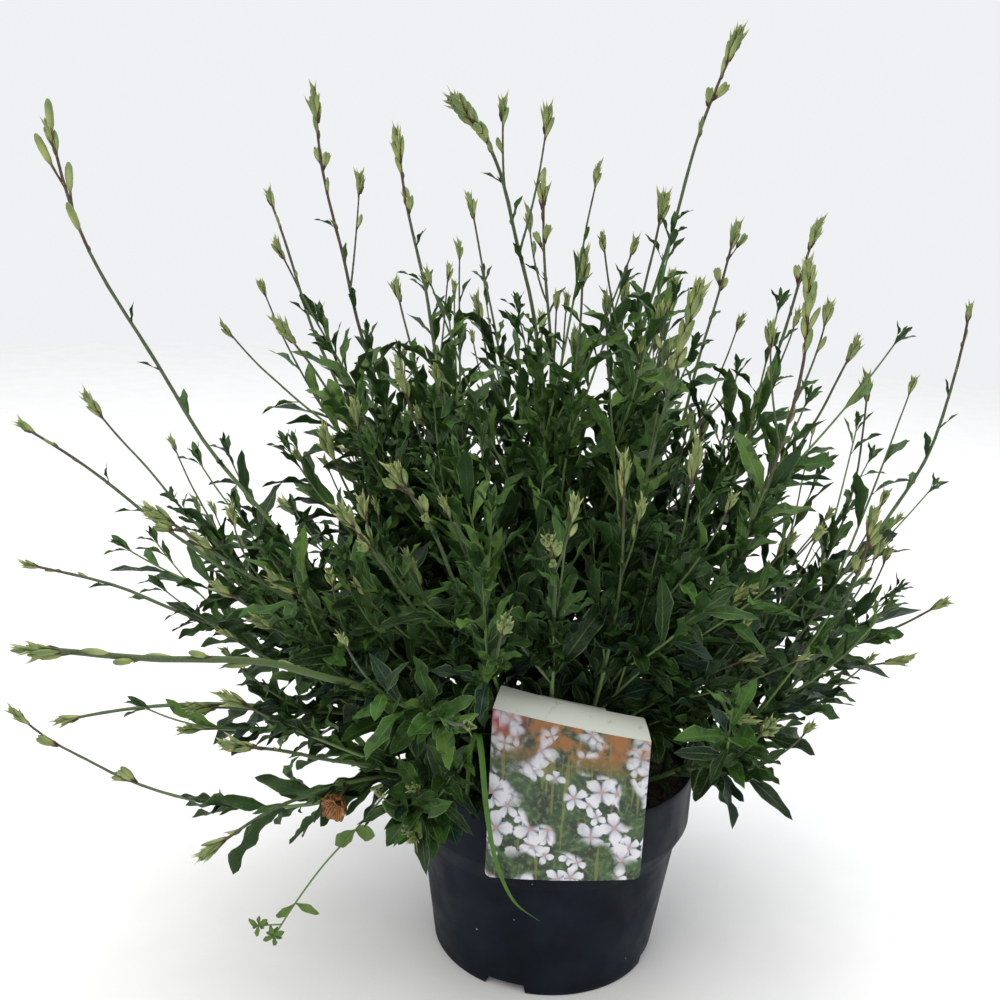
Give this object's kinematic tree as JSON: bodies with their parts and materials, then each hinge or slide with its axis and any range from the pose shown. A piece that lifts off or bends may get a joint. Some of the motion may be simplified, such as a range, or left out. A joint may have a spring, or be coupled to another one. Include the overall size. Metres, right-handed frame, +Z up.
{
  "type": "potted gaura plant",
  "caption": "Flowering perennial with arching leafy stems and bud spikes, in a round nursery pot with a folded picture label, as bedding or balcony decoration.",
  "frame": {"origin": "middle of the pot's underside, on the surface the pot stands on", "axes": "+Z up along the pot's axis, the label faces -Y, +X to the right as seen from the label's side"},
  "size_m": [0.642, 0.5287, 0.6095],
  "materials": {
    "pot_plastic": "scuffed anthracite injection-moulded plastic with a dull sheen",
    "potting_soil": "dark peat and bark fibre potting soil, matte and crumbly",
    "label_card": "thin printed plastic card with a soft gloss",
    "grass": "fresh grass blade, satin",
    "weed": "thin pale green seedling, matte",
    "withered_petal": "dry orange-brown petals, matte",
    "leaf": "dark green leaf with a satin face and lighter midrib",
    "bud": "pale yellow-green bud with fine hairs and a reddish base"
  },
  "bodies": {
    "root": {"flower_spike_01": "bud", "flower_spike_02": "bud", "flower_spike_03": "bud", "flower_spike_04": "bud", "flower_spike_05": "bud", "flower_spike_06": "bud", "flower_spike_08": "bud", "flower_spike_09": "bud", "flower_spike_10": "bud", "flower_spike_11": "bud", "flower_spike_12": "bud", "flower_spike_13": "bud", "flower_spike_14": "bud", "flower_spike_15": "bud", "flower_spike_16": "bud", "flower_spike_17": "bud", "flower_spike_18": "bud", "flower_spike_19": "bud", "flower_spike_20": "bud", "flower_spike_21": "bud", "flower_spike_22": "bud", "flower_spike_23": "bud", "flower_spike_24": "bud", "flower_spike_25": "bud", "flower_spike_26": "bud", "flower_spike_27": "bud", "grass_blade": "grass", "label": "label_card", "leafy_stem_01": "leaf", "leafy_stem_02": "leaf", "leafy_stem_03": "leaf", "leafy_stem_04": "leaf", "leafy_stem_05": "leaf", "leafy_stem_06": "leaf", "leafy_stem_07": "leaf", "leafy_stem_08": "leaf", "leafy_stem_09": "leaf", "leafy_stem_10": "leaf", "leafy_stem_11": "leaf", "leafy_stem_12": "leaf", "leafy_stem_13": "leaf", "leafy_stem_14": "leaf", "leafy_stem_15": "leaf", "leafy_stem_16": "leaf", "leafy_stem_17": "leaf", "leafy_stem_18": "leaf", "leafy_stem_19": "leaf", "leafy_stem_20": "leaf", "leafy_stem_21": "leaf", "leafy_stem_22": "leaf", "leafy_stem_23": "leaf", "leafy_stem_24": "leaf", "leafy_stem_25": "leaf", "leafy_stem_26": "leaf", "leafy_stem_27": "leaf", "leafy_stem_28": "leaf", "pot": "pot_plastic", "soil": "potting_soil", "weed_sprig": "weed", "withered_bloom": "withered_petal"}
  },
  "joints": []
}
